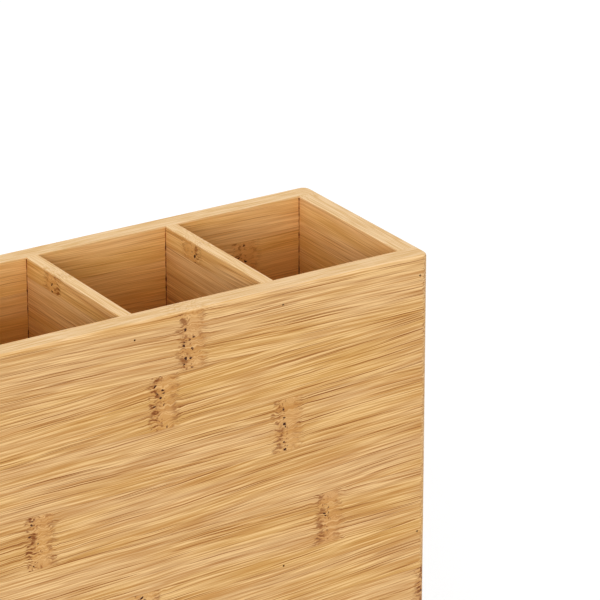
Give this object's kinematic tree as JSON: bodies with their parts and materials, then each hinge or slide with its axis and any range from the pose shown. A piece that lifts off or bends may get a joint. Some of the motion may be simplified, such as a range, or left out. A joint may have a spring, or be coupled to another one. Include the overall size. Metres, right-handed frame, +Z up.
{
  "type": "umbrella stand",
  "caption": "Tall slim open-topped bamboo umbrella stand with side-by-side compartments, lift-out drip trays and rubber feet.",
  "frame": {"origin": "on the ground, under the middle of the stand", "axes": "+X to the right along the long side, +Y towards the back board, +Z up"},
  "size_m": [0.224, 0.1, 0.4],
  "materials": {
    "bamboo_board": "natural plain-pressed bamboo, horizontal strips, clear satin lacquer",
    "bamboo_divider": "natural plain-pressed bamboo, thinner board, clear satin lacquer",
    "bamboo_floor": "natural plain-pressed bamboo, thinner board, clear satin lacquer",
    "brad_steel": "dark, dull wire nail head",
    "tray_plastic": "fine-grained matt moulded plastic",
    "foot_rubber": "dull soft rubber"
  },
  "bodies": {
    "stand": {"front_board": "bamboo_board", "back_board": "bamboo_board", "left_side": "bamboo_board", "right_side": "bamboo_board", "left_divider": "bamboo_divider", "right_divider": "bamboo_divider", "floor_board": "bamboo_floor", "brad_front_left_side_1": "brad_steel", "brad_front_left_side_2": "brad_steel", "brad_front_left_side_3": "brad_steel", "brad_front_left_side_4": "brad_steel", "brad_front_left_divider_1": "brad_steel", "brad_front_left_divider_2": "brad_steel", "brad_front_left_divider_3": "brad_steel", "brad_front_left_divider_4": "brad_steel", "brad_front_right_divider_1": "brad_steel", "brad_front_right_divider_2": "brad_steel", "brad_front_right_divider_3": "brad_steel", "brad_front_right_divider_4": "brad_steel", "brad_front_right_side_1": "brad_steel", "brad_front_right_side_2": "brad_steel", "brad_front_right_side_3": "brad_steel", "brad_front_right_side_4": "brad_steel", "brad_front_floor_board_1": "brad_steel", "brad_front_floor_board_2": "brad_steel", "brad_front_floor_board_3": "brad_steel", "brad_back_left_side_1": "brad_steel", "brad_back_left_side_2": "brad_steel", "brad_back_left_side_3": "brad_steel", "brad_back_left_side_4": "brad_steel", "brad_back_left_divider_1": "brad_steel", "brad_back_left_divider_2": "brad_steel", "brad_back_left_divider_3": "brad_steel", "brad_back_left_divider_4": "brad_steel", "brad_back_right_divider_1": "brad_steel", "brad_back_right_divider_2": "brad_steel", "brad_back_right_divider_3": "brad_steel", "brad_back_right_divider_4": "brad_steel", "brad_back_right_side_1": "brad_steel", "brad_back_right_side_2": "brad_steel", "brad_back_right_side_3": "brad_steel", "brad_back_right_side_4": "brad_steel", "brad_back_floor_board_1": "brad_steel", "brad_back_floor_board_2": "brad_steel", "brad_back_floor_board_3": "brad_steel", "foot_front_left": "foot_rubber", "foot_front_right": "foot_rubber", "foot_back_left": "foot_rubber", "foot_back_right": "foot_rubber"},
    "drip_tray_left": {"drip_tray_left": "tray_plastic"},
    "drip_tray_middle": {"drip_tray_middle": "tray_plastic"},
    "drip_tray_right": {"drip_tray_right": "tray_plastic"}
  },
  "joints": [
    {"name": "drip_tray_left_lift", "type": "slide", "parent": "stand", "child": "drip_tray_left", "axis": [0, 0, 1], "range_m": [0, 0.4]},
    {"name": "drip_tray_middle_lift", "type": "slide", "parent": "stand", "child": "drip_tray_middle", "axis": [0, 0, 1], "range_m": [0, 0.4]},
    {"name": "drip_tray_right_lift", "type": "slide", "parent": "stand", "child": "drip_tray_right", "axis": [0, 0, 1], "range_m": [0, 0.4]}
  ]
}
